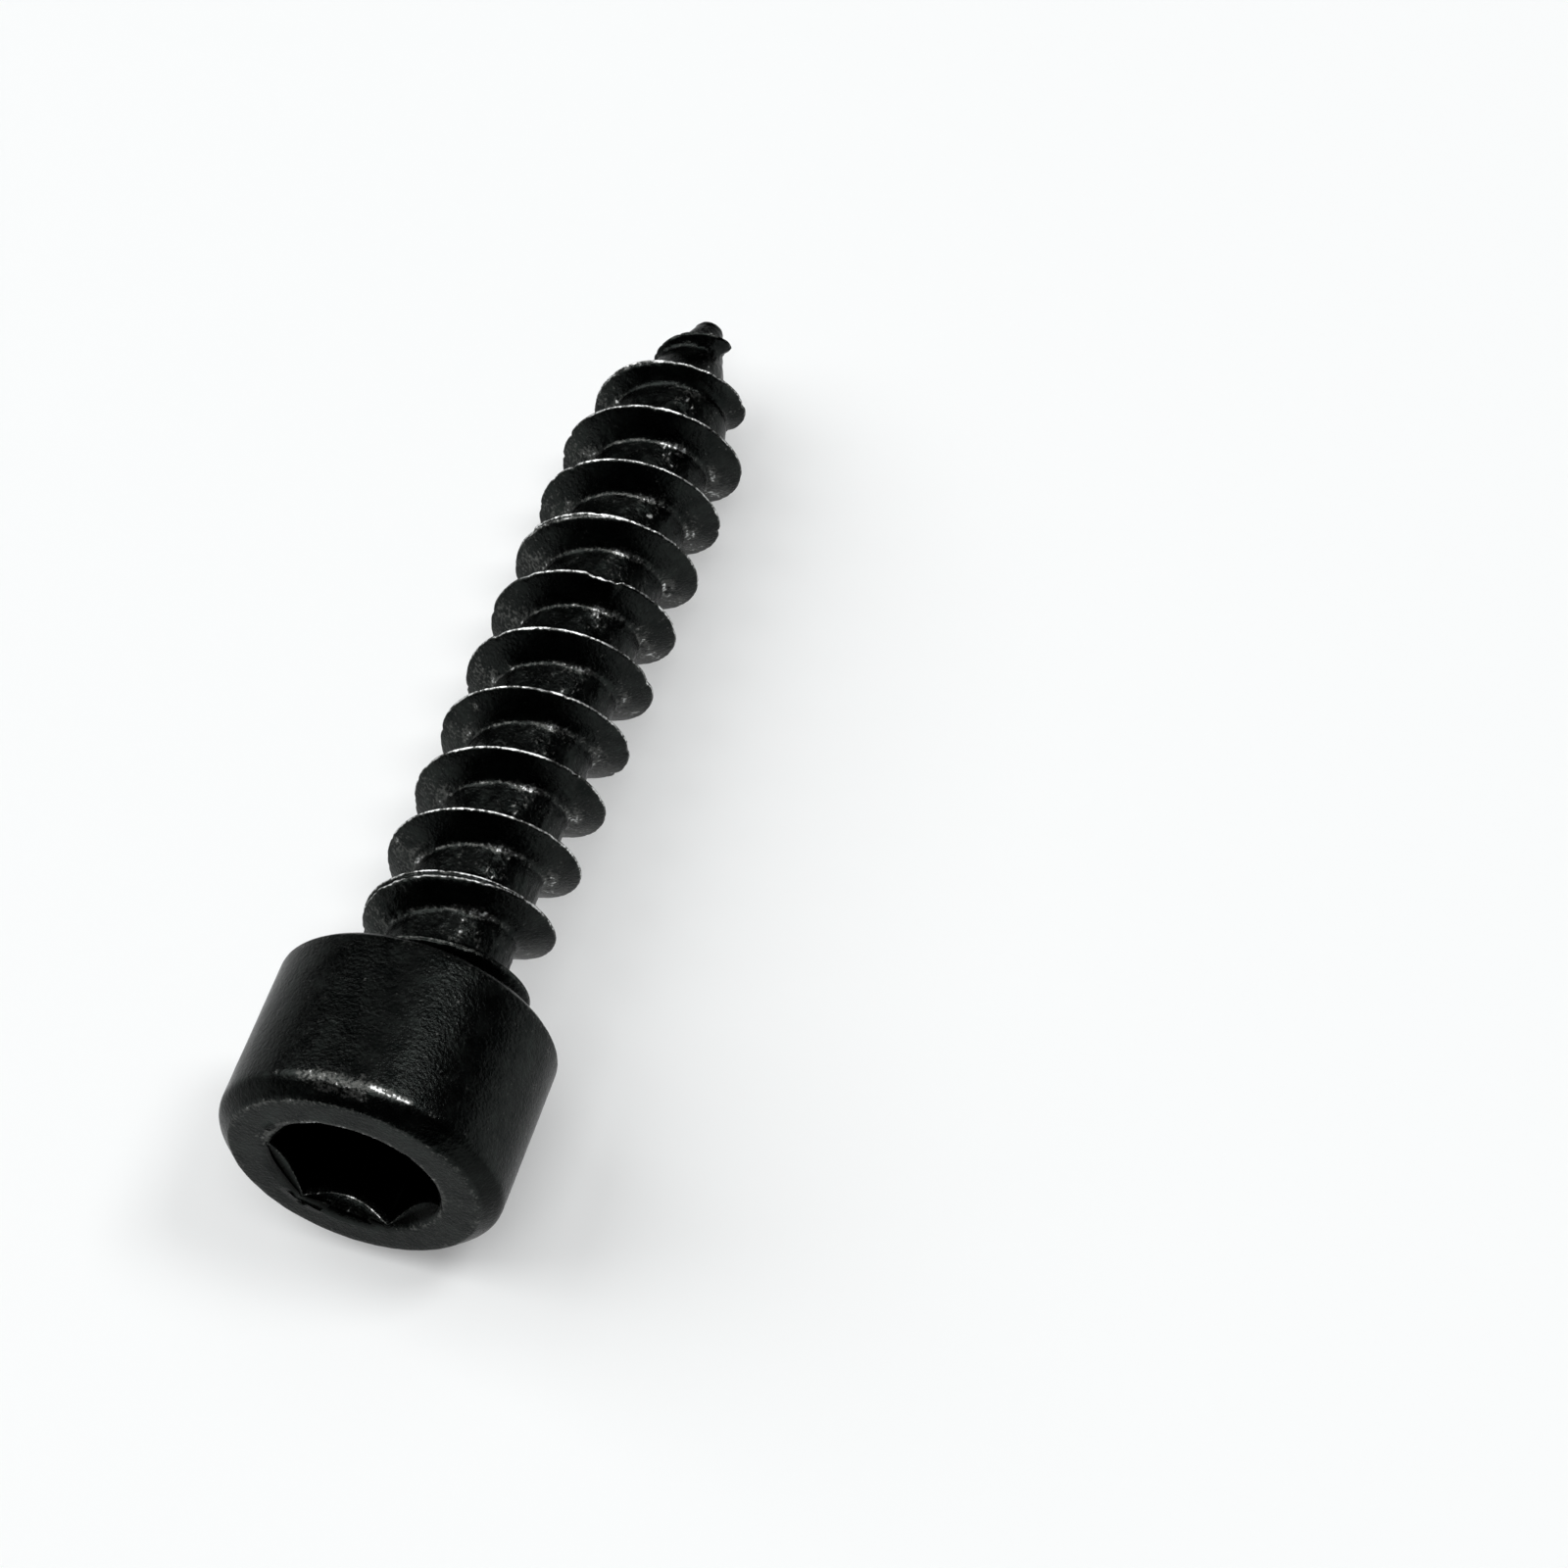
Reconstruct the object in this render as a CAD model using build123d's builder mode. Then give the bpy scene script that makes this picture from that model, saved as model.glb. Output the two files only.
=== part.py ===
"""Self-tapping screw with a hexagon-socket cylinder head, lying as it comes to rest.

Lengths in millimetres, angles in degrees where named so. +Z is up, the screw points along +Y
and the floor is Z = 0, with the origin under the middle of the screw's length. Its head rim and
one thread crest touch the floor, so its axis dips towards the point.
"""

import os
from math import atan, cos, floor, pi, radians, sin, tan

from build123d import *

# Head
head_diameter = 6.0
head_height = 3.9
head_chamfer = 0.37  # bevel round the drive end, the same both ways
shoulder_round = 0.35  # where that bevel runs into the side
rim_bevel = 0.13  # small bevel at the bearing end

# Hexagon socket
key_width = 3.15  # across the flats
key_depth = 2.2  # parallel walls, measured from the drive end
key_turn = 11.5  # degrees about the axis, which leaves two corners nearly level
mouth_diameter = 3.7  # wide end of the conical lead-in
mouth_angle = 33.0  # degrees between the lead-in and the axis
punch_angle = 60.0  # degrees between the socket's conical bottom and the axis

# Shank and thread
shank_length = 20.0  # bearing face to the tip
thread_diameter = 4.0
core_diameter = 2.65
pitch = 1.65
flank_angle = 29.0  # degrees between a flank and the square-on plane
crest_width = 0.07
first_low_crest = 1.49  # from the bearing face to the first crest that points down
thread_clearance = 0.05  # bare ring between the thread's reach and the bearing face
run_out_start = 0.1  # from the bearing face to where the ridge leaves the core
run_out = 0.7  # length over which the ridge rises to its full height
crest_taper = 3.62  # length of the point's cone, over the crests
core_taper = 3.8  # length of the point's cone, over the core
tip_diameter = 0.5
tip_round = 0.12
tip_crest = 0.22  # height of the last crest above the core
tip_plain = 0.25  # bare length beyond the last crest
sunk = 0.2  # how deep the ridge's foot lies inside the core

head_radius = head_diameter / 2
thread_radius = thread_diameter / 2
core_radius = core_diameter / 2
tip_radius = tip_diameter / 2
face_radius = head_radius - head_chamfer

# The shank flares into the head beyond the thread's reach, so a drilled plate lies flat on it.
neck_fillet = thread_radius + thread_clearance - core_radius

# At rest the screw stands on its head rim and on the last crest of full height that points down.
turns_between = floor((shank_length - crest_taper - first_low_crest) / pitch)
resting_crest = first_low_crest + turns_between * pitch
dip = atan((head_radius - thread_radius) / (resting_crest + rim_bevel))
front_reach = head_height * cos(dip) + face_radius * sin(dip)
back_reach = shank_length * cos(dip)

# The seat plane is the bearing face under the head, with its z down the shank to the point.
seat = Plane(
    origin=(0, (front_reach - back_reach) / 2, head_radius * cos(dip) - rim_bevel * sin(dip)),
    x_dir=(1, 0, 0),
    z_dir=(0, cos(dip), -sin(dip)),
)
half_section = Plane(origin=seat.origin, x_dir=seat.x_dir, z_dir=-seat.y_dir)
drive_end = seat.offset(-head_height)


def core_at(z):
    """Core radius at this distance from the bearing face."""
    into_cone = max(0.0, z - (shank_length - core_taper))
    return core_radius - (core_radius - tip_radius) * into_cone / core_taper


def foot_at(z):
    """Radius of the ridge's foot, which lies inside the core."""
    return core_at(z) - sunk


def crest_at(z):
    """Crest radius: it rises from inside the core under the head and narrows to the point."""
    risen = sin(min(1.0, (z - run_out_start) / run_out) * pi / 2)
    buried = core_radius - sunk / 2
    radius = buried + (thread_radius - buried) * risen
    into_cone = max(0.0, z - (shank_length - crest_taper))
    return radius - (thread_radius - tip_radius - tip_crest) * into_cone / crest_taper


def ridge_point(z, radius_at, side):
    """Point of the right-hand ridge's section on its head side (-1) or its tip side (+1)."""
    radius = radius_at(z)
    angle = pi / 2 + 2 * pi * (z - first_low_crest) / pitch
    half_width = crest_width / 2 + (crest_at(z) - radius) * tan(radians(flank_angle))
    local = Vector(radius * cos(angle), radius * sin(angle), z + side * half_width)
    return seat.from_local_coords(local)


def ridge_line(start, end, radius_at, side):
    """One long edge of a stretch of the ridge."""
    count = 16
    stations = [start + (end - start) * i / count for i in range(count + 1)]
    return Edge.make_spline([ridge_point(z, radius_at, side) for z in stations])


def ridge_turn(start, end):
    """A stretch of the thread: two flanks, a narrow crest and a foot inside the core."""
    edges = [(foot_at, -1), (crest_at, -1), (crest_at, 1), (foot_at, 1)]
    lines = [ridge_line(start, end, radius_at, side) for radius_at, side in edges]
    faces = [
        Face.make_surface_from_curves(line, following)
        for line, following in zip(lines, lines[1:] + lines[:1])
    ]
    for at in (0, 1):
        faces.append(Face(Wire.make_polygon([line.position_at(at) for line in lines])))
    return Solid(Shell(faces))


with BuildPart() as screw:
    # head and core, turned in one
    with BuildSketch(half_section) as blank:
        with BuildLine():
            Polyline(
                (0, -head_height),
                (face_radius, -head_height),
                (head_radius, head_chamfer - head_height),
                (head_radius, -rim_bevel),
                (head_radius - rim_bevel, 0),
                (core_radius, 0),
                (core_radius, shank_length - core_taper),
                (tip_radius, shank_length),
                (0, shank_length),
                close=True,
            )
        make_face()
        for corner, rounding in (
            ((head_radius, head_chamfer - head_height), shoulder_round),
            ((core_radius, 0), neck_fillet),
            ((tip_radius, shank_length), tip_round),
        ):
            fillet(blank.vertices().sort_by_distance(corner)[0], rounding)
    revolve(axis=Axis(seat.origin, seat.z_dir))

    # the thread, about a turn at a time
    ridge_length = shank_length - tip_plain - run_out_start
    turns = round(ridge_length / pitch)
    ends = [run_out_start + ridge_length * turn / turns for turn in range(turns + 1)]
    add([ridge_turn(start, end) for start, end in zip(ends, ends[1:])])

    # hexagon socket with its conical bottom and lead-in
    with BuildSketch(drive_end):
        RegularPolygon(key_width / 2, 6, major_radius=False, rotation=key_turn)
    extrude(amount=key_depth, mode=Mode.SUBTRACT)
    bottom_depth = key_width / 2 / tan(radians(punch_angle))
    with BuildSketch(half_section):
        with BuildLine():
            Polyline(
                (0, key_depth - head_height),
                (key_width / 2, key_depth - head_height),
                (0, key_depth - head_height + bottom_depth),
                close=True,
            )
        make_face()
    revolve(axis=Axis(seat.origin, seat.z_dir), mode=Mode.SUBTRACT)
    mouth_depth = mouth_diameter / 2 / tan(radians(mouth_angle))
    with BuildSketch(half_section):
        with BuildLine():
            Polyline(
                (0, -head_height),
                (mouth_diameter / 2, -head_height),
                (0, mouth_depth - head_height),
                close=True,
            )
        make_face()
    revolve(axis=Axis(seat.origin, seat.z_dir), mode=Mode.SUBTRACT)

os.makedirs("parts", exist_ok=True)
screw.part.label = "screw"
export_step(screw.part, "parts/screw.step")
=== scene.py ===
# %% [markdown]
# # A self-tapping screw in black-oxide steel
#
# The screw is one piece of steel: a cold-headed cylinder head with a hexagon socket, and a
# shank whose thread was rolled up out of the blank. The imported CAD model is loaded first. It
# gives the place and the reach of everything, and one fine mesh is then built over it.

import math

import bpy
import numpy as np
from mathutils import Matrix, Vector


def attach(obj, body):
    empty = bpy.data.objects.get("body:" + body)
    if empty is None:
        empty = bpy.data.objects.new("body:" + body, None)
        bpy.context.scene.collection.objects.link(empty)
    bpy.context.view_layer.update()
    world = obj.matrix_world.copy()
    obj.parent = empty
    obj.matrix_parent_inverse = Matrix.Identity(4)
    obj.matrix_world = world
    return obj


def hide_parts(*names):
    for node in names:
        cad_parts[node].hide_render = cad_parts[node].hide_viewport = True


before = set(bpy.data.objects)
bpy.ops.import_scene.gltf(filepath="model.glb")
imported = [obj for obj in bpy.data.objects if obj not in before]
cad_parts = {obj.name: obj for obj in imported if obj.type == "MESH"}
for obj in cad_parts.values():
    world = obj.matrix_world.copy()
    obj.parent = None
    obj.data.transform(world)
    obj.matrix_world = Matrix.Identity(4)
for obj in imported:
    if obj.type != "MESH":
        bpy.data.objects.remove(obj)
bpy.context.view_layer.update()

# %% [markdown]
# ## Sizes and the lying axis
#
# Lengths are in millimetres along the screw's own axis: z is 0 at the bearing face under the
# head and grows to the point. The screw lies on its head rim and on one thread crest, so the
# axis dips a little. Working in the screw's own coordinates keeps every formula round the axis
# simple, and one matrix takes the result to the floor.

# %% Sizes that decide how it lies
MM = 0.001
HEAD_RADIUS, HEAD_HEIGHT = 3.0, 3.9
HEAD_CHAMFER, RIM_BEVEL = 0.37, 0.13
FACE_RADIUS = HEAD_RADIUS - HEAD_CHAMFER
SHANK_LENGTH, THREAD_RADIUS = 20.0, 2.0
RESTING_CREST = 16.34  # from the bearing face to the crest that touches the floor

dip = math.atan((HEAD_RADIUS - THREAD_RADIUS) / (RESTING_CREST + RIM_BEVEL))
print("the axis dips by", round(math.degrees(dip), 2), "degrees")

# %% From the screw's own axis to the floor
reach_front = HEAD_HEIGHT * math.cos(dip) + FACE_RADIUS * math.sin(dip)
reach_back = SHANK_LENGTH * math.cos(dip)
seat = Vector((0, (reach_front - reach_back) / 2,
               HEAD_RADIUS * math.cos(dip) - RIM_BEVEL * math.sin(dip)))
axis = Vector((0, math.cos(dip), -math.sin(dip)))
across = Vector((1, 0, 0))
lying = Matrix((across, axis.cross(across), axis)).transposed().to_4x4()
lying = Matrix.Translation(MM * seat) @ lying @ Matrix.Scale(MM, 4)
print("the middle of the bearing face is", round(seat.z, 3), "mm above the floor")

# %% [markdown]
# ## Random grain that is the same on every run
#
# Rolled and black-oxidised steel is never quite even. A small lattice of random numbers, read
# with smooth steps between its points, gives soft lumps of any chosen size in millimetres.
# Blender's own mathutils.noise works point by point, and this reads all points at once. It is
# seeded, so that the piece comes out the same each time.

# %% A smooth random field
LATTICE = 32  # random numbers along each side of a block, which then repeats
OFF_AXIS = 7.3  # in lattice steps, so that no plane of the lattice runs through the axis


def lumps(points, size, seed):
    """Soft random values from -1 to 1 at points in mm, with lumps about this size."""
    field = np.random.default_rng(seed).uniform(-1, 1, (LATTICE, LATTICE, LATTICE))
    scaled = np.asarray(points, float) / size + OFF_AXIS
    low = np.floor(scaled).astype(int)
    part = scaled - low
    part = part * part * (3 - 2 * part)
    total = np.zeros(len(scaled))
    for corner in range(8):
        step = np.array([corner >> 2 & 1, corner >> 1 & 1, corner & 1])
        weight = np.prod(np.where(step, part, 1 - part), axis=1)
        i, j, k = ((low + step) % LATTICE).T
        total += weight * field[i, j, k]
    return total


sample = lumps(np.linspace((0, 0, 0), (3, 0, 0), 50), 0.2, 1)
print("along 3 mm the field goes from", round(sample.min(), 2), "to", round(sample.max(), 2))

# %% [markdown]
# ## The head, ring by ring
#
# The head is a turned form apart from its socket, so it is a stack of rings from the bottom of
# the socket out to the bearing face. A lathe-like Screw or Spin would make only round rings,
# and here some of them are hexagons. Every ring has the same number of points, a multiple of
# six that starts at a corner of the hexagon, so that the socket's corners stay crisp.

# %% Columns round the axis
COLUMNS = 216
KEY_TURN = math.radians(11.5)
turn = KEY_TURN + 2 * math.pi * np.arange(COLUMNS) / COLUMNS
around = np.degrees(turn) % 360  # 0 is to the right of the screw, 90 under it, 270 on top of it


def near_angle(angle, middle, width, power=2):
    """1 at the middle angle, 0 about a width away, in degrees; a power of 4 has a flat top."""
    return np.exp(-((((angle - middle + 180) % 360 - 180) / width) ** power))


print("columns:", COLUMNS, "which is one every", round(360 / COLUMNS, 2), "degrees")

# %% Rings and worn corners
rings = []


def ring(radius, z):
    """One ring round the axis: its radius and height may differ from column to column."""
    rings.append((np.broadcast_to(radius, COLUMNS).astype(float),
                  np.broadcast_to(z, COLUMNS).astype(float)))


def worn_corner(before, corner, after, size):
    """Three rings that round a corner between two surfaces, each a (radius, z) pair.

    The first and the last lie at this size from the corner, though never more than 0.45 of the
    way to the next one. The middle one lies on the smooth curve that joins them.
    """
    near, mid, far = ([np.broadcast_to(v, COLUMNS).astype(float) for v in p]
                      for p in (before, corner, after))
    ends = []
    for other in (near, far):
        away = np.array([other[0] - mid[0], other[1] - mid[1]])
        length = np.hypot(*away)
        share = np.minimum(size, 0.45 * length) / np.maximum(length, 1e-9)
        ends.append(np.array(mid) + away * share)
    ring(*ends[0])
    ring(*(0.25 * ends[0] + 0.5 * np.array(mid) + 0.25 * ends[1]))
    ring(*ends[1])


# %% [markdown]
# ## The socket
#
# A hexagon punch is driven into the cold head. It leaves straight walls, a shallow cone at the
# bottom and a conical lead-in at the mouth. Cutting a hexagon out with a Boolean would leave
# knife edges, so the radius of each column is worked out instead. That also lets the walls
# differ: the punch stood a little off, and the lead-in is shallower on the left and below.

# %% The hexagon and its lead-in
KEY_WIDTH, KEY_DEPTH = 3.15, 2.2
PUNCH_DEPTH = KEY_WIDTH / 2 / math.tan(math.radians(60))
MOUTH_RADIUS, MOUTH_SLOPE = 1.85, math.tan(math.radians(33))
CORNER_FILL, MOUTH_NOTCH = 0.012, 0.05  # at each corner, inside the socket and at its mouth

from_corner = (turn - KEY_TURN + math.pi / 6) % (math.pi / 3) - math.pi / 6
hexagon = KEY_WIDTH / 2 / np.cos(np.abs(from_corner) - math.pi / 6)
hexagon -= CORNER_FILL * np.exp(-((from_corner / math.radians(2.5)) ** 2))
mouth = MOUTH_RADIUS + MOUTH_NOTCH * np.exp(-((from_corner / math.radians(3)) ** 2))
lead_in = 0.88 - 0.42 * near_angle(around, 160, 32, power=4)
lip = lead_in * (MOUTH_RADIUS - hexagon) / MOUTH_SLOPE - HEAD_HEIGHT
print("lead-in:", round(lip.min() + HEAD_HEIGHT, 2), "to", round(lip.max() + HEAD_HEIGHT, 2),
      "mm deep")

# %% The socket's rings
WORN_EDGE, FLOOR_EDGE, LIP_EDGE = 0.03, 0.05, 0.02
floor_z = KEY_DEPTH - HEAD_HEIGHT
for share in (0.2, 0.45, 0.7, 0.9):
    ring(share * KEY_WIDTH / 2, floor_z + PUNCH_DEPTH * (1 - share))
worn_corner((KEY_WIDTH / 2 * 0.9, floor_z + PUNCH_DEPTH * 0.1), (KEY_WIDTH / 2 * 0.985, floor_z),
            (hexagon, floor_z), WORN_EDGE)
worn_corner((KEY_WIDTH / 2, floor_z), (hexagon, floor_z), (hexagon, lip), FLOOR_EDGE)
for share in (0.25, 0.5, 0.75, 0.9):
    ring(hexagon, floor_z + (lip - floor_z) * share)
worn_corner((hexagon, floor_z), (hexagon, lip), (mouth, -HEAD_HEIGHT), LIP_EDGE)
for share in (0.35, 0.65):
    ring(hexagon + (mouth - hexagon) * share, lip + (-HEAD_HEIGHT - lip) * share)
print("socket:", len(rings), "rings of", COLUMNS, "points")

# %% [markdown]
# ## The drive end and the side
#
# The face is flat, with an edge that is a little wavy, as cold-headed edges are. The mouth's
# edge is rolled over on its left, as the punch and the keys leave it. A bevel and a rounded
# shoulder lead to the side. The three close rings at each corner make the narrow worn edge
# that catches light on the real part, which a sharp corner never does.

# %% Drive end
EDGE_WAVE = 0.012
rolled = 0.05 + 0.11 * near_angle(around, 214, 16) + 0.1 * near_angle(around, 128, 55, power=4)
worn_corner((hexagon, lip), (mouth, -HEAD_HEIGHT), (FACE_RADIUS, -HEAD_HEIGHT), rolled)
for radius in (2.0, 2.15, 2.3, 2.45):
    ring(radius, -HEAD_HEIGHT)
corner_z = HEAD_CHAMFER - HEAD_HEIGHT
rim_line = np.stack([HEAD_RADIUS * np.cos(turn), HEAD_RADIUS * np.sin(turn), 0 * turn], axis=1)
face_edge = FACE_RADIUS + EDGE_WAVE * lumps(rim_line, 0.2, 5)
worn_corner((mouth, -HEAD_HEIGHT), (face_edge, -HEAD_HEIGHT), (HEAD_RADIUS, corner_z), WORN_EDGE)
print("rolled edge:", round(rolled.min(), 2), "to", round(rolled.max(), 2), "mm")

# %% Shoulder and side
SHOULDER_ROUND = 0.35
side_start = corner_z + SHOULDER_ROUND * math.tan(math.radians(22.5))
for share in (0.75, 0.5):
    ring(HEAD_RADIUS - share * HEAD_CHAMFER, corner_z - share * HEAD_CHAMFER)
for angle in np.radians((45, 36, 27, 18, 9, 0)):
    ring(HEAD_RADIUS - SHOULDER_ROUND * (1 - math.cos(angle)),
         side_start - SHOULDER_ROUND * math.sin(angle))
for height in np.linspace(side_start, -RIM_BEVEL, 20)[1:-1]:
    ring(HEAD_RADIUS, height)
print("the side starts", round(side_start + HEAD_HEIGHT, 2), "mm from the drive end")

# %% Bearing face and the start of the neck
CORE_RADIUS, THREAD_CLEARANCE, NECK_END = 1.325, 0.05, 0.12
NECK_FILLET = THREAD_RADIUS + THREAD_CLEARANCE - CORE_RADIUS
rim = (HEAD_RADIUS, -RIM_BEVEL)
bearing_edge = (HEAD_RADIUS - RIM_BEVEL, 0)
worn_corner((HEAD_RADIUS, side_start), rim, bearing_edge, WORN_EDGE)
worn_corner(rim, bearing_edge, (CORE_RADIUS, 0), WORN_EDGE)
for radius in (2.7, 2.5, 2.3, 2.15):
    ring(radius, 0)
neck_angle = math.acos(1 - NECK_END / NECK_FILLET)
for share in np.linspace(0, 1, 7):
    angle = neck_angle * share
    ring(CORE_RADIUS + NECK_FILLET * (1 - math.sin(angle)), NECK_FILLET * (1 - math.cos(angle)))
print("head:", len(rings), "rings")

# %% [markdown]
# ## The rolled thread
#
# Flat dies squeeze the blank so that steel flows up into the ridge from both sides. The ridge
# has narrow flanks, a crest about as wide as a hair, and small hollows at its feet. A screw
# modifier could sweep one section, but here the ridge changes on its way: it rises out of the
# neck, keeps an open seam where it was not quite filled, has nicks, and sinks into the point.
# So the grid itself winds: each row of points runs along the helix, and the rows lie close
# together at the crest and the feet.

# %% The core
CORE_TAPER, TIP_RADIUS = 3.0, 0.26  # the real core keeps its width longer than the CAD's cone


def core_at(z):
    """Core radius: the flare under the head, the straight shank and the point's cone."""
    flare = np.sqrt(np.maximum(0, NECK_FILLET**2 - np.maximum(0, NECK_FILLET - z) ** 2))
    straight = CORE_RADIUS + NECK_FILLET - flare
    into_cone = np.maximum(0, z - (SHANK_LENGTH - CORE_TAPER))
    return straight - (CORE_RADIUS - TIP_RADIUS) * into_cone / CORE_TAPER


print("core radius at 0.3, 5 and 19 mm:", [round(float(core_at(v)), 2) for v in (0.3, 5, 19)])

# %% The crest
# pairs of the crest's distance from the bearing face and its radius there
CREST_STOPS = ((0.1, 1.22), (0.35, 1.66), (0.6, 1.97), (0.9, 1.99), (1.4, 1.99), (1.9, 1.95),
               (2.4, 1.985), (2.8, 2.0), (16.36, 2.0), (16.7, 1.79), (17.0, 1.755),
               (17.23, 1.725), (17.44, 1.665), (17.58, 1.59), (17.72, 1.44), (18.1, 1.17),
               (18.47, 0.93), (18.61, 0.95), (18.75, 1.0), (18.95, 1.01), (19.03, 0.99),
               (19.1, 0.88), (19.17, 0.62), (19.3, 0.46), (19.6, 0.36), (21.0, 0.1))


def crest_at(z):
    """Crest radius, from the run-out under the head to the last bit of ridge at the point."""
    stops, radii = zip(*CREST_STOPS)
    return np.interp(z, stops, radii)


print("crest radius at 0.3, 5 and 19 mm:", [round(float(crest_at(v)), 2) for v in (0.3, 5, 19)])

# %% Rows along the helix
PITCH, FIRST_LOW_CREST = 1.65, 1.49  # the first crest that points down, from the bearing face
# offsets of the rows on each side of the crest, close together at the crest and at the foot
HALF_ROWS = (0.021, 0.034, 0.055, 0.1, 0.17, 0.24, 0.31, 0.35, 0.39, 0.43, 0.48, 0.55, 0.64, 0.73)
FIRST_TURN, LAST_TURN = -2, 14
offsets = np.array([-x for x in reversed(HALF_ROWS)] + [0] + list(HALF_ROWS) + [PITCH / 2])
per_turn = len(offsets)
turn_number = np.repeat(np.arange(FIRST_TURN, LAST_TURN), per_turn)
offset = np.tile(offsets, LAST_TURN - FIRST_TURN)[:, None]
crest_z = FIRST_LOW_CREST + PITCH * ((turn - math.pi / 2) / (2 * math.pi) + turn_number[:, None])
print("thread:", per_turn, "rows a turn, crest lines", PITCH, "mm apart")

# %% [markdown]
# ## Open seams and nicks of the crest
#
# Where the two streams of steel didn't quite meet, the crest is wider and keeps a fine groove.
# Handling leaves small nicks. They could be sculpted by hand. Here each is a dent in the
# crest's radius, given by the crest's distance from the bearing face, which names one place on
# the helix, so it stays in place when a size changes.

# %% Open seams
def bump_between(value, start, end, ramp):
    """1 between start and end, falling smoothly to 0 over the ramp outside them."""
    rise = np.clip((value - start) / ramp + 1, 0, 1)
    fall = np.clip((end - value) / ramp + 1, 0, 1)
    both = np.minimum(rise, fall)
    return both * both * (3 - 2 * both)


HALF_CREST, SEAM_RAMP = 0.028, 0.2
# start, end, half the width of the crest there and the groove's depth
SEAMS = ((0.3, 0.9, 0.035, 0.02), (1.85, 2.35, 0.075, 0.035), (12.0, 12.12, 0.06, 0.03),
         (16.85, 17.0, 0.05, 0.02))
half_crest = np.full_like(crest_z, HALF_CREST)
seam_depth = np.zeros_like(crest_z)
for start, end, half_width, depth in SEAMS:
    here = bump_between(crest_z, start, end, SEAM_RAMP)
    half_crest += here * (half_width - HALF_CREST)
    seam_depth = np.maximum(seam_depth, here * depth)
print("open seams:", len(SEAMS), "the widest crest is", round(2 * half_crest.max(), 3), "mm")

# %% Nicks
NICKS, NICK_WIDTH, NICK_DEPTH = 170, (0.004, 0.018), (0.01, 0.045)
# three wider ones: place, width and depth
WIDE_NICKS = [(9.26, 0.035, 0.06), (10.95, 0.02, 0.04), (17.5, 0.02, 0.04)]
rng = np.random.default_rng(4)
nicks = [(place, rng.uniform(*NICK_WIDTH), rng.uniform(*NICK_DEPTH))
         for place in rng.uniform(1.0, 19.0, NICKS)]
nick_depth = np.zeros_like(crest_z)
for place, width, depth in nicks + WIDE_NICKS:
    nick_depth += depth * np.exp(-(((crest_z - place) / width) ** 2))
print("nicks:", len(nicks + WIDE_NICKS), "the deepest is", round(nick_depth.max(), 3), "mm")

# %% [markdown]
# ## The ridge
#
# The ridge's height falls from the crest along both flanks. The crest wanders a little, leans
# towards the head and once folds over into a lap. Where the ridge meets the core a smooth
# blend makes the hollow at its foot, as the round edge of the die does.

# %% A crest that wanders, with one lap
z = crest_z + offset


def along_crest(size, seed):
    """Soft random values along the helix; the size is in the crest's distance from the seat."""
    line = np.broadcast_to(crest_z, z.shape).ravel()
    return lumps(np.stack([line, 0 * line, 0 * line], axis=1), size, seed).reshape(z.shape)


WANDER, WANDER_REACH = 0.012, 0.25  # the reach is how far down the flanks it goes
LAP_START, LAP_END, LAP_SHIFT, LAP_REACH = 10.6, 10.67, 0.075, 0.13  # it folds to the head
z = z + WANDER * along_crest(0.16, 8) * np.exp(-((offset / WANDER_REACH) ** 2))
folded = bump_between(crest_z, LAP_START, LAP_END, 0.02)
z = z - LAP_SHIFT * folded * np.exp(-((offset / LAP_REACH) ** 2))
print("the lap is", round((LAP_END - LAP_START) / PITCH * 360), "degrees long")

# %% Flanks and crest
FLANK = math.tan(math.radians(29))
CREST_EDGE = 0.01
from_edge = np.abs(offset) - half_crest
drop = (np.sqrt(from_edge**2 + CREST_EDGE**2) + from_edge) / 2 / FLANK
seam = seam_depth * np.exp(-((offset / (0.45 * half_crest)) ** 2))
# the crest's narrow top leans towards the head, more in some places than in others
lean = 0.34 + 0.25 * along_crest(0.014, 31) + 0.15 * along_crest(0.035, 32)
leaning = lean * np.clip(half_crest - offset, 0, 2 * half_crest)
# the floor of a nick is nearly flat, with a quarter of the flank's slope
cut = np.maximum(nick_depth + 0.25 * drop, leaning)
ridge = crest_at(crest_z) - np.maximum(drop, cut) - seam
FULL_FROM = 2.8  # from here to the resting crest the ridge has its full height
straight = (z > FULL_FROM) & (z < RESTING_CREST)
core = core_at(z)
print("the full ridge is", round(float((ridge - core)[straight].max()), 2), "mm high")

# %% Where the ridge meets the core
FOOT_HOLLOW = 0.12
RISEN = 0.7  # from here on the ridge has left the neck
DRAG_DEPTH = 0.014
blend = np.maximum(0, FOOT_HOLLOW - np.abs(ridge - core))
thread_r = np.maximum(ridge, core) + blend**2 / (4 * FOOT_HOLLOW)
# short streaks across the foot on the head side, where the die dragged the steel
drag = DRAG_DEPTH * (1 + along_crest(0.022, 9))
thread_r = thread_r - drag * np.exp(-(((offset + 0.37) / 0.09) ** 2)) * (z > RISEN)
print("the core's least radius is", round(float(thread_r[straight].min()), 2), "mm")

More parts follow.
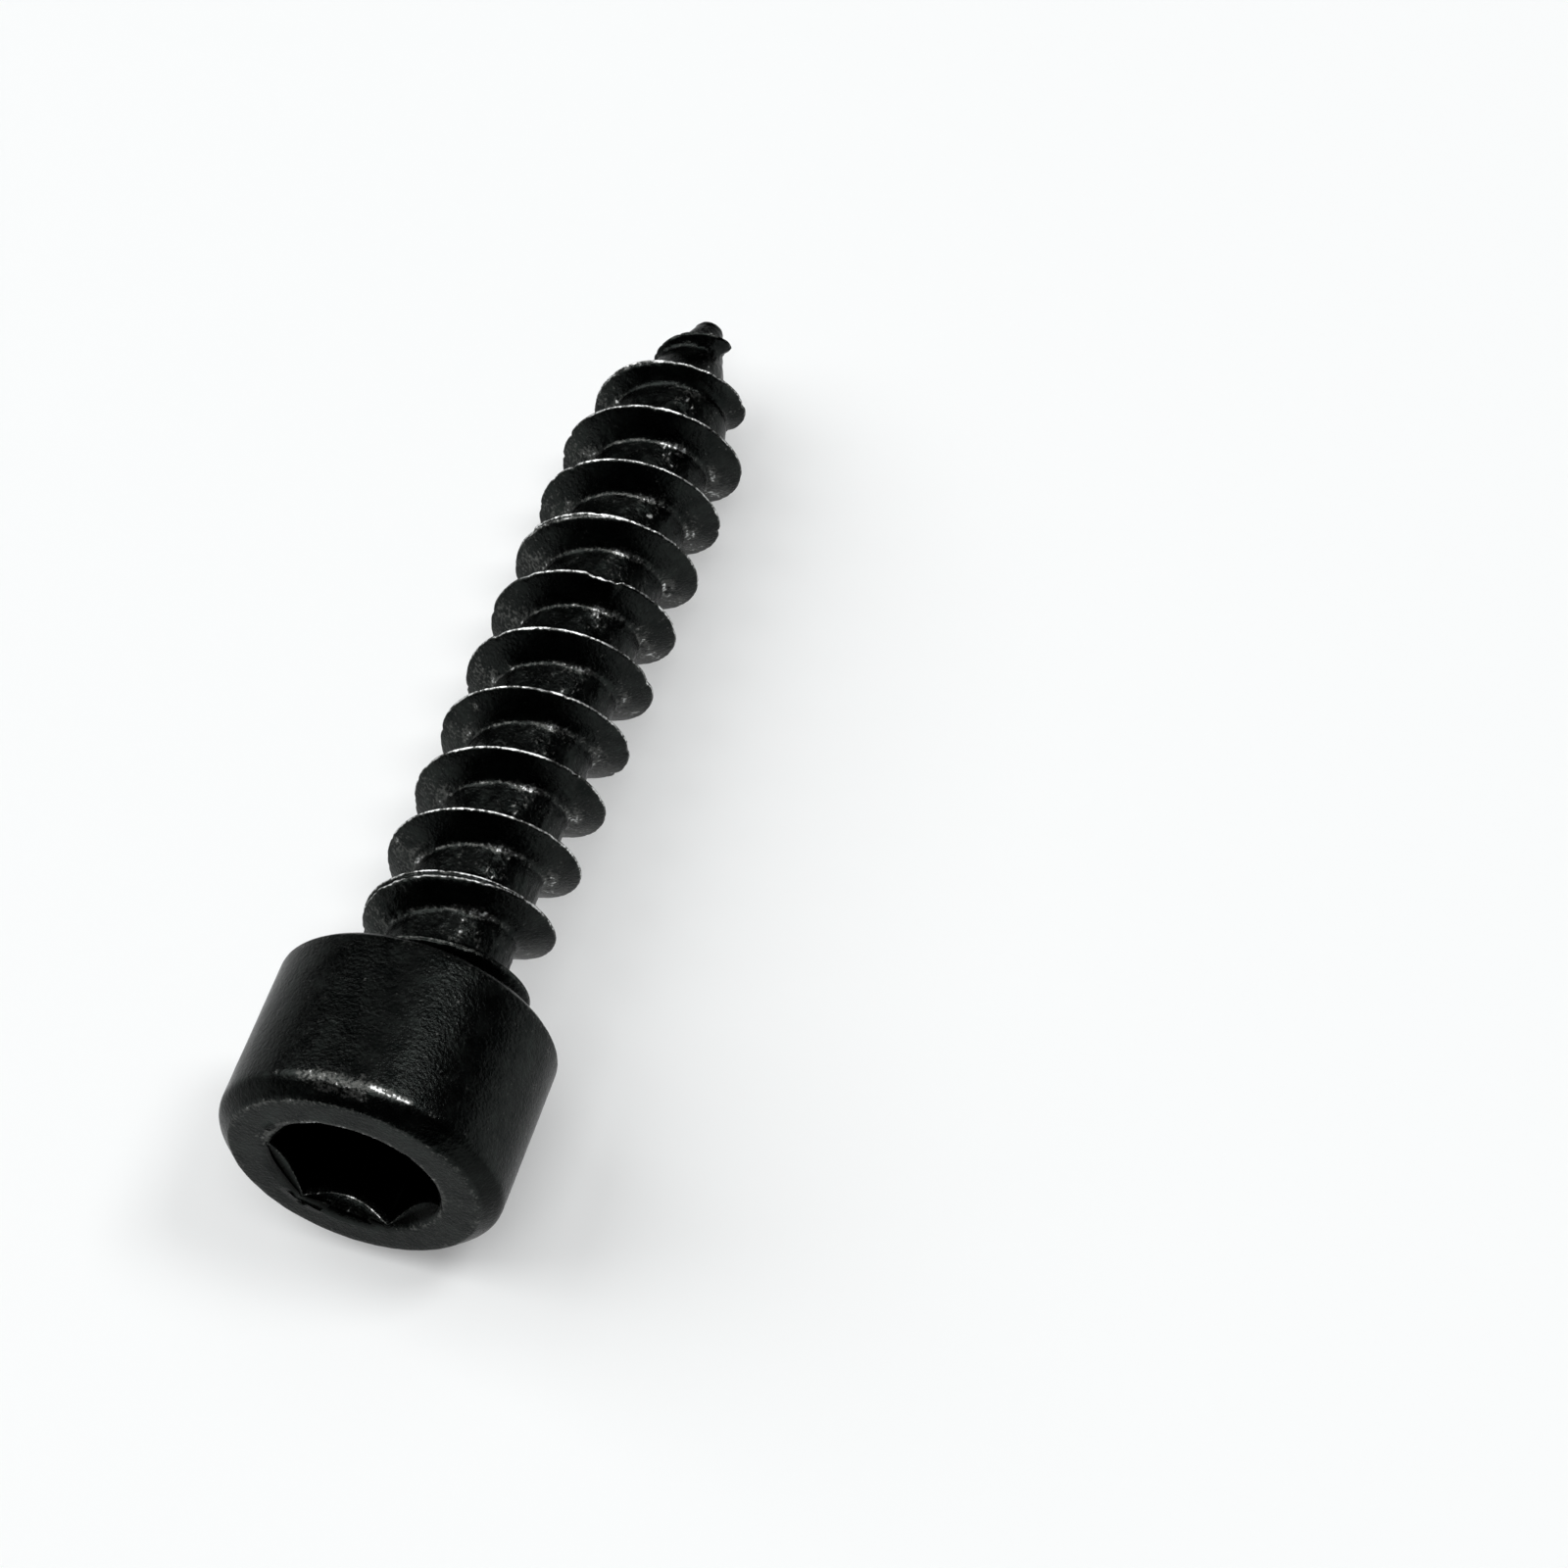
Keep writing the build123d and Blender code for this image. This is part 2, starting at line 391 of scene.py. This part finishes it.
# %% A pit and a crack beside a flank
# place on the helix, offset from the crest, half length along the helix, half width across it
# and depth
MARKS = ((12.69, -0.33, 0.06, 0.05, 0.05), (12.575, -0.52, 0.022, 0.2, 0.03))
MARK_RADIUS = 1.46
ALONG = 2 * math.pi * MARK_RADIUS / PITCH  # length along the flank for each mm of place
marks = np.zeros_like(thread_r)
for place, across_at, half_long, half_wide, depth in MARKS:
    gap = ((crest_z - place) * ALONG / half_long) ** 2 + ((offset - across_at) / half_wide) ** 2
    marks = np.maximum(marks, np.exp(-gap))
    thread_r = thread_r - depth * np.exp(-gap)
print("marks:", len(MARKS))

# %% [markdown]
# ## One closed mesh
#
# The winding rows start inside the neck ring and end inside the tip ring. Points that would
# pass one of these rings take the ring's own points instead, so the grid closes on both
# without a gap. A remesh modifier could join the head and the thread too, but it would blur
# the crest. A rounded nub closes the tip.

# %% Points of the head and the nub
TIP_START, NUB_RADIUS, NUB_END = 19.72, 0.359, 19.93
# pairs of a share of the nub's radius and a height
NUB_RINGS = ((1.0, TIP_START), (0.97, 19.79), (0.88, 19.85), (0.7, 19.9), (0.4, 19.925))
points, count, ring_index = [], 0, []
for radius, height in rings + [(share * NUB_RADIUS, height) for share, height in NUB_RINGS]:
    heights = np.broadcast_to(height, COLUMNS).astype(float)
    points.append(np.stack([radius * np.cos(turn), radius * np.sin(turn), heights], axis=1))
    ring_index.append(np.arange(count, count + COLUMNS))
    count += COLUMNS
head_rings, tip_rings = ring_index[: len(rings)], ring_index[len(rings) :]
print("rings:", len(head_rings), "on the head and", len(tip_rings), "on the nub")

# %% Points of the thread
SNAP = 0.006  # points this close to an end ring take its points
near, far = z < NECK_END + SNAP, z > TIP_START - SNAP
inside = ~(near | far)
grid = np.where(near, head_rings[-1], tip_rings[0])
grid[inside] = count + np.arange(inside.sum())
thread_points = np.stack([(thread_r * np.cos(turn))[inside], (thread_r * np.sin(turn))[inside],
                          z[inside]], axis=1)
points.append(thread_points)
count += len(thread_points)
socket_centre, tip_centre = count, count + 1
points.append(np.array([[0, 0, floor_z + PUNCH_DEPTH], [0, 0, NUB_END]]))
points = np.concatenate(points)

# the point is a little off the axis, as on most rolled points
TIP_SHIFT, BENT_FROM = 0.04, 18.0
bent = np.clip((points[:, 2] - BENT_FROM) / (SHANK_LENGTH - BENT_FROM), 0, 1)
points[:, 0] += TIP_SHIFT * bent**2
print("points:", len(points))

# %% Faces
faces = []


def add_strip(a, b):
    """Quads between two neighbouring rows; ones that share points become triangles."""
    for four in zip(a[:-1], a[1:], b[1:], b[:-1]):
        kept = [int(v) for n, v in enumerate(four) if v != four[n - 1]]
        if len(set(kept)) > 2:
            faces.append(kept)


def closed(row):
    """The row with its first point again at its end."""
    return np.append(row, row[0])


for a, b in zip(head_rings, head_rings[1:]):
    add_strip(closed(a), closed(b))
rows = len(grid) - per_turn - 1
winding = np.concatenate([grid[: rows + 1], grid[per_turn : per_turn + rows + 1, :1]], axis=1)
for a, b in zip(winding, winding[1:]):
    add_strip(a, b)
for a, b in zip(tip_rings, tip_rings[1:]):
    add_strip(closed(a), closed(b))
for a, b in zip(head_rings[0], np.roll(head_rings[0], -1)):
    faces.append([socket_centre, int(b), int(a)])
for a, b in zip(tip_rings[-1], np.roll(tip_rings[-1], -1)):
    faces.append([tip_centre, int(a), int(b)])
print("faces:", len(faces), "triangles:", sum(len(f) - 2 for f in faces))

# %% Make the piece
mesh = bpy.data.meshes.new("screw_steel")
mesh.from_pydata(points.tolist(), [], faces)
mesh.validate()
mesh.update()
mesh.shade_smooth()
print("mesh:", len(mesh.vertices), "vertices")

# %% [markdown]
# ## Small unevenness
#
# Tumbling and rolling leave the steel slightly lumpy: the core between the ridges is crinkled,
# the head is smoother. A displace modifier with a vertex group could do this too. Moving the
# points here takes fewer lines and lets the depth follow the core and the ridge. They move
# along their normals and only inwards, so the piece keeps its size.

# %% How deep the dents are
CORE_CRINKLE, RIDGE_CRINKLE, HEAD_CRINKLE = 0.024, 0.002, 0.004
POINT_FROM, POINT_SHARE = 16.4, 0.6  # the point is smoother than the straight core
RIDGE_FROM = 0.12  # this far above the core the ridge is smooth
x, y, height = points.T
distance = np.hypot(x, y)
on_shank = height > NECK_END
up_ridge = np.clip((distance - core_at(height)) / RIDGE_FROM, 0, 1)
crinkle = np.where(on_shank, CORE_CRINKLE * (1 - up_ridge) + RIDGE_CRINKLE, HEAD_CRINKLE)
crinkle = np.where(on_shank & (height > POINT_FROM), POINT_SHARE * crinkle, crinkle)
print("dents can be up to", round(2 * float(crinkle.max()), 3), "mm deep")

# %% Dent the skin and lay the screw down
normal = np.zeros(len(points) * 3, np.float32)
mesh.vertex_normals.foreach_get("vector", normal)
normal = normal.reshape(-1, 3)
depth = 0.5 * (lumps(points, 0.2, 1) - 1) + 0.5 * (lumps(points, 0.1, 2) - 1)
points = points + normal * (crinkle * depth)[:, None]
mesh.vertices.foreach_set("co", points.astype(np.float32).ravel())
mesh.transform(lying)
mesh.update()
print("deepest dent:", round(float((crinkle * depth).min()), 4), "mm")

# %% [markdown]
# ## Where the coating is rubbed thin, and where light and shade are painted
#
# The oxide is about a thousandth of a millimetre thick. The tumbling and the box rub it off
# where the steel sticks out: along the crest, on the shoulder of the head and on the mouth of
# the socket. It is thin too on the fine lines that the dies left along the foot of the ridge.
# Each point carries one number, which the material reads. At 0 the coat is sound, from about
# 0.2 it is thin and grey, and from about 0.6 to 0.9 the bare steel comes through. The same
# number also carries painted light: a painted sheen on the flanks at the sides, and painted
# highlights on the shoulder, along the foot of the ridge and on the socket's lip. Below 0 the
# place is darker: painted shade in the socket, on the bevel and at the mouth's lower side, and
# the dark marks. The number could be painted on by hand as vertex colours, but a formula in
# the screw's own coordinates follows the crest exactly.

# %% Crest and foot of the ridge
CREST_INSET, CREST_RUB = 0.024, 0.026  # where the rub is strongest inside the edge, its width
FOOT = -0.42  # offset of the foot on the head's side
beads = 0.93 + 0.4 * along_crest(0.014, 41) + 0.25 * along_crest(0.035, 42)
on_crest = beads * np.exp(-(((np.abs(offset) - half_crest + CREST_INSET) / CREST_RUB) ** 2))
on_crest = on_crest * (0.6 + 0.4 * near_angle(around, 275, 75))
on_crest = on_crest * (0.35 + 0.65 * bump_between(crest_z, 1.75, 18.3, 0.3))
# the line at the ridge's foot, widest and brightest at the upper right, is partly burnished steel
# and partly a painted highlight where the lamp's reflection runs along the hollow
upper_right = near_angle(around, 296, 17)
foot_line = np.exp(-(((offset - FOOT) / (0.035 + 0.05 * upper_right)) ** 2)) * (z > RISEN)
foot_line = foot_line * (1 - 0.7 * near_angle(around, 350, 28)) * (1 - 0.4 * (crest_z > 16.9))
at_foot = (0.38 + 0.34 * upper_right + 0.22 * along_crest(0.02, 43)) * foot_line
print("rubbed crest up to", round(on_crest.max(), 2), "and foot up to", round(at_foot.max(), 2))

# %% Fine lines of the dies along the foot, on the two sides
SQUEEZE = 0.5  # the lumps are stretched along the helix into lines
places = np.broadcast_arrays(SQUEEZE * crest_z, offset, 0)
foot_lines = lumps(np.stack([p.ravel() for p in places], axis=1), 0.035, 44).reshape(z.shape)
right_lines = (0.46 + 0.55 * foot_lines) * near_angle(around, 4, 24)
right_lines = right_lines * bump_between(offset, -0.43, -0.26, 0.03)
left_lines = (0.4 + 0.45 * foot_lines) * near_angle(around, 207, 13)
left_lines = left_lines * bump_between(offset, -0.75, -0.31, 0.03)
streaks = np.maximum(right_lines, left_lines) * bump_between(crest_z, 3.0, 17.7, 0.3)
print("lines up to", round(streaks.max(), 2))

# %% Painted sheen on the flanks at the sides, one glint, and the marks, which stay dark
MOST_RUBBED, MARK_DARK = 0.95, 0.8
on_flank = bump_between(offset, -0.4, -0.08, 0.05)
# the flanks at the lower right and at the left are painted grey: a painted reflection of the pale
# floor at glancing angles
lower_lobe = (0.54 + 0.15 * along_crest(0.05, 46)) * near_angle(around, 33, 16) * on_flank
left_lobe = (0.24 + 0.12 * along_crest(0.03, 47)) * near_angle(around, 193, 24) * on_flank
glint = ((crest_z - 7.078) * ALONG / 0.05) ** 2 + ((offset + 0.17) / 0.045) ** 2
on_thread = np.maximum.reduce([on_crest, at_foot, streaks, lower_lobe, left_lobe,
                               0.9 * np.exp(-glint)])
on_thread = np.minimum(on_thread, MOST_RUBBED) * (1 - marks) - MARK_DARK * marks
wear_and_painted_light = np.zeros(len(points))
thread_start = len(points) - 2 - len(thread_points)
wear_and_painted_light[thread_start:-2] = on_thread[inside]
print("rubbed on the thread:", int((wear_and_painted_light > 0.3).sum()), "points")

# %% [markdown]
# ## Wear, and a painted highlight, on the core and the head
#
# The top of the core has bright specks. On top of the shoulder is one long rub, grey on its
# left and bright at its right end, with a thin grey patch on the bevel beside it; the rub is
# partly worn coat and partly a painted highlight where the lamp's reflection falls. The edges
# of the face, the mouth and the rim are grey where hands and keys touch them. Each is a soft
# bump of the number round a place on the screw, with lumps on it, so that no edge looks drawn.

# %% Specks on the core
CORE_SKIN = 0.06
point_angle = np.degrees(np.arctan2(y, x)) % 360
on_core = on_shank & (distance < core_at(height) + CORE_SKIN)
speckled = np.clip(lumps(points, 0.075, 12) - 0.35, 0, 1) * near_angle(point_angle, 299, 20)
speckled = speckled * (1.9 + 0.9 * (height < 2.2))
wear_and_painted_light = np.maximum(wear_and_painted_light, (0.03 + 0.12 * lumps(points, 0.35, 11) + speckled) * on_core)
print("points on the core:", int(on_core.sum()))

# %% The rub on the shoulder: partly wear, partly painted highlight
shoulder_r, shoulder_z = HEAD_RADIUS - 0.02, corner_z + 0.06 - 0.05 * (point_angle < 277)
# the strip's place, width and taper follow the lamp's highlight on the shoulder, so it is partly
# worn coat and partly painted highlight
strip_width = np.interp(point_angle, (271, 278, 281, 293), (0.25, 0.15, 0.08, 0.05))
strip_wear_and_highlight = np.interp(point_angle, (254, 261, 277.5, 280.5), (0.36, 0.45, 0.45, 0.86))
strip = bump_between(point_angle, 252, 293, 5) * strip_wear_and_highlight
strip = np.maximum(strip, 0.36 * near_angle(point_angle, 303.5, 2.5))
gap = np.hypot(distance - shoulder_r, height - shoulder_z)
strip = strip * (0.95 + 0.22 * lumps(points, 0.11, 13)) * np.exp(-((gap / strip_width) ** 2))
bevel_patch = (0.38 + 0.15 * lumps(points, 0.2, 17)) * bump_between(point_angle, 258, 276, 6)
bevel_patch = bevel_patch * bump_between(height, corner_z - 0.2, corner_z, 0.05)
wear_and_painted_light = np.maximum(wear_and_painted_light, np.maximum(strip, bevel_patch) * (distance > 2.7))
print("rubbed on the shoulder up to", round(strip.max(), 2))

# %% Edges of the mouth, the face and the rim
MOUTH_REACH, EDGE_REACH = 0.075, 0.055  # how far the wear spreads from an edge
upper_left = near_angle(point_angle, 214, 16)
mouth_worn = 0.3 + 0.47 * near_angle(point_angle, 270, 75) + 0.05 * upper_left
face_worn = 0.3 + 0.2 * near_angle(point_angle, 235, 30)
reach = np.where(distance < 2, MOUTH_REACH + 0.15 * upper_left, EDGE_REACH)
for edge_r, edge_z, worn in ((MOUTH_RADIUS + 0.01, -HEAD_HEIGHT, mouth_worn),
                             (FACE_RADIUS, -HEAD_HEIGHT, face_worn),
                             (HEAD_RADIUS, -RIM_BEVEL, 0.3)):
    gap = (distance - edge_r) ** 2 + (height - edge_z) ** 2
    here = worn * (0.8 + 0.4 * lumps(points, 0.25, 14)) * np.exp(-gap / reach**2)
    wear_and_painted_light = np.maximum(wear_and_painted_light, here)
print("rubbed on the head:", int((wear_and_painted_light[:thread_start] > 0.3).sum()), "points")

# %% [markdown]
# ## Painted shade, and the socket's worn lip
#
# The socket, the bevel and the lower side of the mouth are painted darker than the rest: this
# is painted shade. In the dark of the socket the lip between the lead-in and the walls is what
# shows, as a thin bright line with a few chips under it. The line is partly worn steel and
# partly a painted highlight.

# %% Painted shade: darker in the socket, on the bevel and at the mouth's lower side
SOCKET_DARK, BEVEL_DARK, LOW_DARK = 0.5, 0.25, 0.35
MOUTH_INSET = 0.045  # the painted shade starts this far inside the mouth, and further in at the upper left
SHADE_END = -1.0  # and it ends here, a little short of the tip of the socket's bottom
in_mouth = distance < MOUTH_RADIUS - MOUTH_INSET - 0.09 * upper_left
in_socket = in_mouth & (height < SHADE_END)
# the inside of the socket is painted dark: painted shade in the recess
wear_and_painted_light = np.where(in_socket, -SOCKET_DARK, wear_and_painted_light)
# painted shade on the mouth's lower side, fading out onto the face
low_side = bump_between(point_angle, 75, 182, 14) * (height < -HEAD_HEIGHT + 0.3)
wear_and_painted_light = wear_and_painted_light - LOW_DARK * low_side * np.exp(-(((distance - MOUTH_RADIUS) / 0.07) ** 2))
# painted shade: the bevel is darker all round, except where it is rubbed
bevel = (distance > FACE_RADIUS + 0.03) & (height < corner_z + 0.02) & (wear_and_painted_light < 0.1)
wear_and_painted_light = np.where(bevel, -BEVEL_DARK, wear_and_painted_light)
print("oily points:", int((wear_and_painted_light < 0).sum()))

# %% The lip's bright line, partly worn steel and partly painted highlight, and chips
LIP_LINE = 0.02
order = np.argsort(turn % (2 * math.pi))
lip_turns = (turn % (2 * math.pi))[order]
lip_here = np.interp(np.radians(point_angle), lip_turns, lip[order], period=2 * math.pi)
on_lip = np.exp(-(((height - lip_here) / LIP_LINE) ** 2)) * in_socket
# the line is brightest on the lower flats and at one spot on the right, where the lamp's highlight
# shows: partly wear, partly painted highlight
lip_wear_and_highlight = 0.3 + 0.33 * near_angle(point_angle, 104, 24) + 0.6 * near_angle(point_angle, 79, 6)
lip_wear_and_highlight = lip_wear_and_highlight * (0.75 + 0.5 * lumps(points, 0.12, 15))
wear_and_painted_light = np.where(on_lip > 0.3, lip_wear_and_highlight * on_lip, wear_and_painted_light)
chips = np.clip(lumps(points, 0.07, 16) - 0.45, 0, 1) * near_angle(point_angle, 112, 16)
chipped = in_socket & (height < lip_here + LIP_LINE) & (chips > 0.05)
wear_and_painted_light = np.where(chipped, 0.5 + chips, wear_and_painted_light)
print("chipped points:", int(chipped.sum()))

# %% Keep the wear and painted light with the mesh, and place the piece
mesh.attributes.new("wear_and_painted_light", "FLOAT", "POINT").data.foreach_set(
    "value", np.clip(wear_and_painted_light, -1, 1.3).astype(np.float32))
print("rubbed points:", int((wear_and_painted_light > 0.3).sum()))

screw = bpy.data.objects.new("screw_steel", mesh)
bpy.context.scene.collection.objects.link(screw)
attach(screw, "root")
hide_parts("screw")

# %% [markdown]
# ## Black-oxide steel
#
# A hot salt bath turns the skin of the steel into magnetite. It is dark and slightly green or
# brown where the bath worked unevenly, satin rather than glossy, and it keeps the steel's own
# reflection weakly, so the black shows the pale floor at glancing angles. Where it is rubbed
# thin the bright steel shows in dots. A picture could be painted on for this, but it would
# need unwrapping. Noise in the screw's own coordinates and the number of wear and painted light
# need neither.

# %% Colour and node helpers
def srgb(code):
    """Linear RGBA from an sRGB hex colour."""
    parts = [int(code[i : i + 2], 16) / 255 for i in (1, 3, 5)]
    linear = [v / 12.92 if v <= 0.04045 else ((v + 0.055) / 1.055) ** 2.4 for v in parts]
    return (*linear, 1.0)


def add_node(tree, kind, settings=None, **links):
    """Adds a node with its settings and links.

    A link is named for its input, with _ for a space, or by i and the input's number where
    several inputs have one name. It is a socket of another node or a plain value.
    """
    node = tree.nodes.new(kind)
    for name, value in (settings or {}).items():
        setattr(node, name, value)
    for name, value in links.items():
        numbered = name[1:].isdigit()
        socket = node.inputs[int(name[1:]) if numbered else name.replace("_", " ")]
        if isinstance(value, bpy.types.NodeSocket):
            tree.links.new(value, socket)
        else:
            socket.default_value = value
    return node


# %% The sound coat: uneven bath, patches about half a millimetre across with finer ones on them
PER_METRE = 1 / MM
PATCH_SIZE = 0.5
steel = bpy.data.materials.new("black_oxide_steel")
steel.use_nodes = True
tree = steel.node_tree
shader = tree.nodes["Principled BSDF"]
place = add_node(tree, "ShaderNodeTexCoord").outputs["Object"]
wear_and_light = add_node(tree, "ShaderNodeAttribute", {"attribute_name": "wear_and_painted_light"}).outputs["Fac"]
patches = add_node(tree, "ShaderNodeTexNoise", Vector=place, Scale=PER_METRE / PATCH_SIZE,
                   Detail=5.0, Roughness=0.65)
bath = add_node(tree, "ShaderNodeValToRGB", Fac=patches.outputs["Fac"])
bath.color_ramp.elements[0].position, bath.color_ramp.elements[0].color = 0.35, srgb("#181b1a")
bath.color_ramp.elements[1].position, bath.color_ramp.elements[1].color = 0.68, srgb("#282c2a")
bath.color_ramp.elements.new(0.5).color = srgb("#212322")
print("the bath's patches are", PATCH_SIZE, "mm across")

# %% How worn: the number of wear and painted light, broken up by grit and by patches of scuffs
GRIT_SIZE, SCUFF_SIZE = 0.07, 0.3
grit = add_node(tree, "ShaderNodeTexNoise", Vector=place, Scale=PER_METRE / GRIT_SIZE, Detail=2.0)
speck = add_node(tree, "ShaderNodeMath", {"operation": "MULTIPLY_ADD"}, i0=grit.outputs["Fac"],
                 i1=1.3, i2=-0.65)
wear = add_node(tree, "ShaderNodeMath", {"operation": "ADD"}, i0=speck.outputs[0], i1=wear_and_light)
scuffs = add_node(tree, "ShaderNodeTexNoise", Vector=place, Scale=PER_METRE / SCUFF_SIZE,
                  Detail=3.0)
scuffed = add_node(tree, "ShaderNodeMapRange", Value=scuffs.outputs["Fac"], From_Min=0.62,
                   From_Max=0.76, To_Max=0.35)
wear = add_node(tree, "ShaderNodeMath", {"operation": "ADD"}, i0=wear.outputs[0],
                i1=scuffed.outputs[0])
print("grit of", GRIT_SIZE, "mm and scuffs of", SCUFF_SIZE, "mm")

# %% Colour: painted shade and dark marks, sound black, thin grey and bare steel, one over the other
painted_shade_and_marks = add_node(tree, "ShaderNodeMapRange", Value=wear_and_light, From_Min=0.0, From_Max=-0.5)
darker = add_node(tree, "ShaderNodeMix", {"data_type": "RGBA"}, i0=painted_shade_and_marks.outputs[0],
                  i6=bath.outputs["Color"], i7=srgb("#0b0c0b"))
thin_coat = add_node(tree, "ShaderNodeMapRange", {"interpolation_type": "SMOOTHSTEP"},
                     Value=wear.outputs[0], From_Min=0.18, From_Max=0.5)
thinned = add_node(tree, "ShaderNodeMix", {"data_type": "RGBA"}, i0=thin_coat.outputs[0],
                   i6=darker.outputs[2], i7=srgb("#4a4b49"))
bare = add_node(tree, "ShaderNodeMapRange", {"interpolation_type": "SMOOTHSTEP"},
                Value=wear.outputs[0], From_Min=0.55, From_Max=0.9)
colour = add_node(tree, "ShaderNodeMix", {"data_type": "RGBA"}, i0=bare.outputs[0],
                  i6=thinned.outputs[2], i7=srgb("#e4e6e5"))
tree.links.new(colour.outputs[2], shader.inputs["Base Color"])
# the coat is so thin that it still reflects as a metal does, only weakly, also at the edges
shader.inputs["Metallic"].default_value = 1.0
shader.inputs["Specular Tint"].default_value = srgb("#d2d2d2")

# %% Gloss: satin, and duller where the coat is thin
# black oxide has a roughness of about 0.3, matched here to the width of its highlights
coat_rough = add_node(tree, "ShaderNodeMapRange", Value=patches.outputs["Fac"], From_Min=0.3,
                      From_Max=0.7, To_Min=0.22, To_Max=0.32)
rough = add_node(tree, "ShaderNodeMath", {"operation": "MULTIPLY_ADD"}, i0=thin_coat.outputs[0],
                 i1=0.1, i2=coat_rough.outputs[0])
tree.links.new(rough.outputs[0], shader.inputs["Roughness"])

# %% Satin grain of the etched skin
# The real grain is about a hundredth of a millimetre, too fine to show, so it is drawn as
# coarse as it needs to show. It is burnished flat where the steel is rubbed most.
GRAIN_SIZE, GRAIN_DEPTH = 0.085, 0.02
grain = add_node(tree, "ShaderNodeTexNoise", Vector=place, Scale=PER_METRE / GRAIN_SIZE,
                 Detail=3.0, Roughness=0.6)
grain_left = add_node(tree, "ShaderNodeMapRange", Value=wear_and_light, From_Min=0.95, From_Max=1.25,
                      To_Min=0.8, To_Max=0.25)
fine = add_node(tree, "ShaderNodeBump", Height=grain.outputs["Fac"], Distance=GRAIN_DEPTH * MM,
                Strength=grain_left.outputs[0])
tree.links.new(fine.outputs[0], shader.inputs["Normal"])
mesh.materials.append(steel)
print("black oxide:", len(tree.nodes), "nodes")

# %% [markdown]
# ## The table
#
# The screw lies on plain matt card. Pressed and coated paper scatters light evenly, so the eye
# sees soft shadows and no mirror image. A lit card is never quite white in the render, and
# more light would spoil the steel. So towards the camera, and in reflections, the card is part
# plain white instead. This also lightens its shadows.

# %% The card's material
CARD_GLOW = 0.25
card = bpy.data.materials.new("matt_white_card")
card.use_nodes = True
card_shader = card.node_tree.nodes["Principled BSDF"]
card_shader.inputs["Base Color"].default_value = srgb("#f6f8f8")
card_shader.inputs["Roughness"].default_value = 0.8
card_shader.inputs["Specular IOR Level"].default_value = 0.2
rays = add_node(card.node_tree, "ShaderNodeLightPath").outputs
seen = add_node(card.node_tree, "ShaderNodeMath", {"operation": "ADD"},
                i0=rays["Is Camera Ray"], i1=rays["Is Glossy Ray"])
seen = add_node(card.node_tree, "ShaderNodeMath", {"operation": "ADD", "use_clamp": True},
                i0=seen.outputs[0], i1=rays["Is Transmission Ray"])
share = add_node(card.node_tree, "ShaderNodeMath", {"operation": "MULTIPLY"}, i0=seen.outputs[0],
                 i1=CARD_GLOW)
white = add_node(card.node_tree, "ShaderNodeEmission", Color=srgb("#ffffff"), Strength=1.0)
both = add_node(card.node_tree, "ShaderNodeMixShader", i0=share.outputs[0],
                i1=card_shader.outputs[0], i2=white.outputs[0])
card.node_tree.links.new(both.outputs[0], card.node_tree.nodes["Material Output"].inputs["Surface"])

# %% Floor
TABLE_SIZE = 8
bpy.ops.mesh.primitive_plane_add(size=TABLE_SIZE)
table = bpy.context.object
table.name = "table"
table.data.materials.append(card)
print("table:", TABLE_SIZE, "m square")

# %% [markdown]
# ## Light
#
# A satin black surface shows what stands around it, so a dim room is what lets the steel
# read as black, and each lamp is placed for the edge that it lights. A wide one like a window
# stands on the left, a weaker one hangs overhead, a small one stands on the right beyond the
# point, and a very weak one behind the point lifts the far sides of the ridge. A point lamp
# would give hard shadows and pinprick highlights, so all four are flat area lamps.

# %% Four soft lamps in a dim room
LAMP_DISTANCE = 1.5


def softbox(name, azimuth, elevation, size, power):
    """A flat lamp that faces the screw, at an azimuth from +Y towards +X; metres and watts."""
    turned, raised = math.radians(azimuth), math.radians(elevation)
    way = Vector((math.sin(turned) * math.cos(raised), math.cos(turned) * math.cos(raised),
                  math.sin(raised)))
    lamp = bpy.data.lights.new(name, "AREA")
    lamp.shape, lamp.size, lamp.size_y, lamp.energy = "RECTANGLE", *size, power
    holder = bpy.data.objects.new(name, lamp)
    holder.location = LAMP_DISTANCE * way
    holder.rotation_euler = way.to_track_quat("Z", "Y").to_euler()
    bpy.context.scene.collection.objects.link(holder)
    print(name + ":", power, "W from", azimuth, "degrees,", elevation, "degrees up")


softbox("window", -93, 46, (1.2, 1.4), 16)
softbox("overhead", 172, 75, (0.7, 0.95), 8)
softbox("lamp", 60, 61, (0.36, 0.46), 6.5)
softbox("back", 2, 62, (0.8, 0.7), 0.9)
room = bpy.data.worlds.new("dim_room")
room.use_nodes = True
room.node_tree.nodes["Background"].inputs["Color"].default_value = srgb("#c8ccd2")
room.node_tree.nodes["Background"].inputs["Strength"].default_value = 0.03
bpy.context.scene.world = room
bpy.context.scene.view_settings.view_transform = "Standard"

# %% [markdown]
# ## Camera
#
# The camera looks steeply down from the head's side through a fairly long lens, which keeps
# the head from looking swollen. Its place and direction were fitted to the real screw's
# outline. A camera looks along its own -Z with +X to the right, so its matrix is built from
# those directions, and taking the sideways part out of the view direction keeps them square.

# %% Camera
SENSOR_WIDTH, LENS = 36, 86.6
CAMERA_PLACE = Vector((17.75, -41.72, 70.12))
camera_data = bpy.data.cameras.new("camera")
camera_data.sensor_width, camera_data.lens = SENSOR_WIDTH, LENS
camera_data.clip_start, camera_data.clip_end = 0.005, 50
camera = bpy.data.objects.new("camera", camera_data)
right = Vector((0.9586, 0.2847, 0)).normalized()
forward = Vector((-0.1537, 0.5177, -0.8417))
forward = (forward - forward.dot(right) * right).normalized()
camera.matrix_world = (Matrix.Translation(MM * CAMERA_PLACE)
                       @ Matrix((right, right.cross(forward), -forward)).transposed().to_4x4())
bpy.context.scene.collection.objects.link(camera)
bpy.context.scene.camera = camera
print("the camera is", round(CAMERA_PLACE.length), "mm from the floor under the screw's middle")
